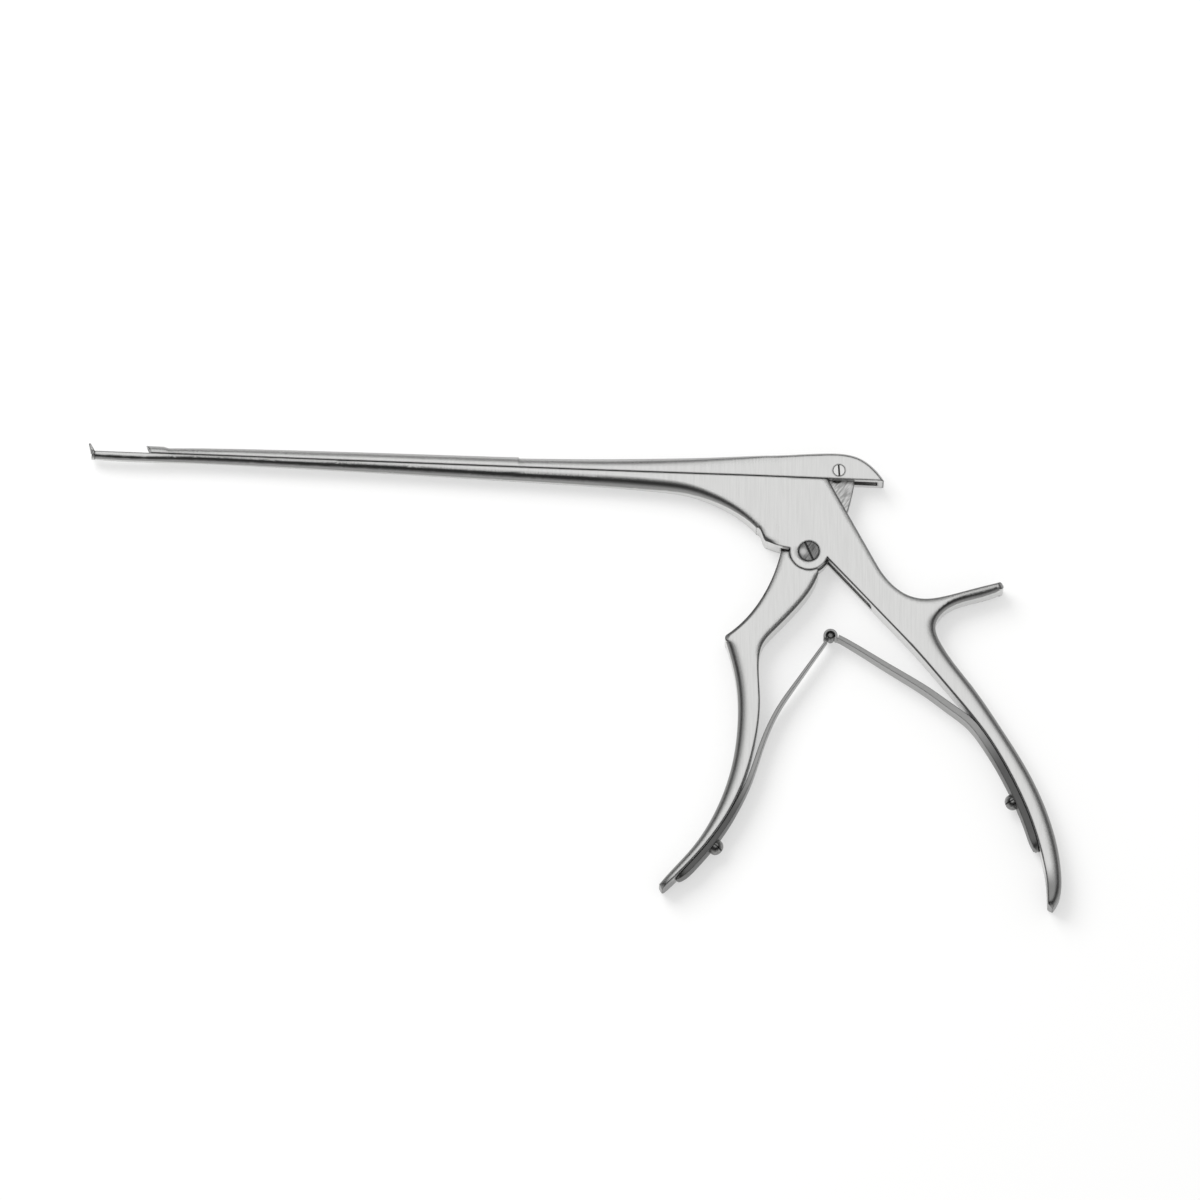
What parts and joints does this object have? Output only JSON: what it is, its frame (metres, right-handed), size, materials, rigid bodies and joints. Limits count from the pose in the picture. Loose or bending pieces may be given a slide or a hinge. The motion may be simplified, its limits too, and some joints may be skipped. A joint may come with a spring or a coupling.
{
  "type": "bone rongeur",
  "caption": "Hand-held bone punch: a slim shaft with an upright footplate at its tip, a sliding shaft with a cutting edge above it, a squeezed front handle and leaf springs that reopen it.",
  "frame": {"origin": "on the pivot axis of the handles, in the plane of the side face that the instrument lies on", "axes": "+X along the shafts to the rear, away from the jaw; +Y from the grips up to the sliding shaft; +Z through the thickness, from the face it lies on to the face with the screws' heads"},
  "size_m": [0.2591, 0.1215, 0.0071],
  "materials": {
    "satin_steel": "satin stainless steel with fine brushing across the shaft and brighter rounded edges",
    "screw_steel": "polished stainless steel, darker in the reflection of its surroundings",
    "spring_steel": "fine matt spring steel"
  },
  "bodies": {
    "frame": {"frame": "satin_steel", "footplate": "satin_steel", "pivot_screw": "screw_steel", "rear_spring_screw": "screw_steel"},
    "slide": {"sliding_shaft": "satin_steel", "drive_screw": "screw_steel"},
    "handle": {"front_handle": "satin_steel", "front_spring_screw": "screw_steel"},
    "rear_leaf": {"rear_leaf_spring": "spring_steel"},
    "front_leaf": {"front_leaf_spring": "spring_steel", "spring_hinge_pin": "screw_steel"}
  },
  "joints": [
    {"name": "handle_squeeze", "type": "hinge", "parent": "frame", "child": "handle", "pos_m": [0, 0, 0.0035], "axis": [0, 0, 1], "range_deg": [0, 36.5], "stiffness_Nm_per_rad": 1.6, "springref_deg": -14.32},
    {"name": "slide_travel", "type": "slide", "parent": "frame", "child": "slide", "axis": [-1, 0, 0], "range_m": [0, 0.0147]},
    {"name": "rear_leaf_flex", "type": "hinge", "parent": "frame", "child": "rear_leaf", "pos_m": [0.0402, -0.042, 0.0035], "axis": [0, 0, 1], "range_deg": [-12, 0], "deforming": ["rear_leaf_spring"]},
    {"name": "front_leaf_flex", "type": "hinge", "parent": "handle", "child": "front_leaf", "pos_m": [-0.0151, -0.0654, 0.0035], "axis": [0, 0, 1], "range_deg": [0, 9.5], "deforming": ["front_leaf_spring"]}
  ],
  "couplings": [
    {"joint": "slide_travel", "follows": "handle_squeeze", "m_per_rad": 0.02307},
    {"joint": "rear_leaf_flex", "follows": "handle_squeeze", "ratio": -0.317},
    {"joint": "front_leaf_flex", "follows": "handle_squeeze", "ratio": 0.25}
  ]
}
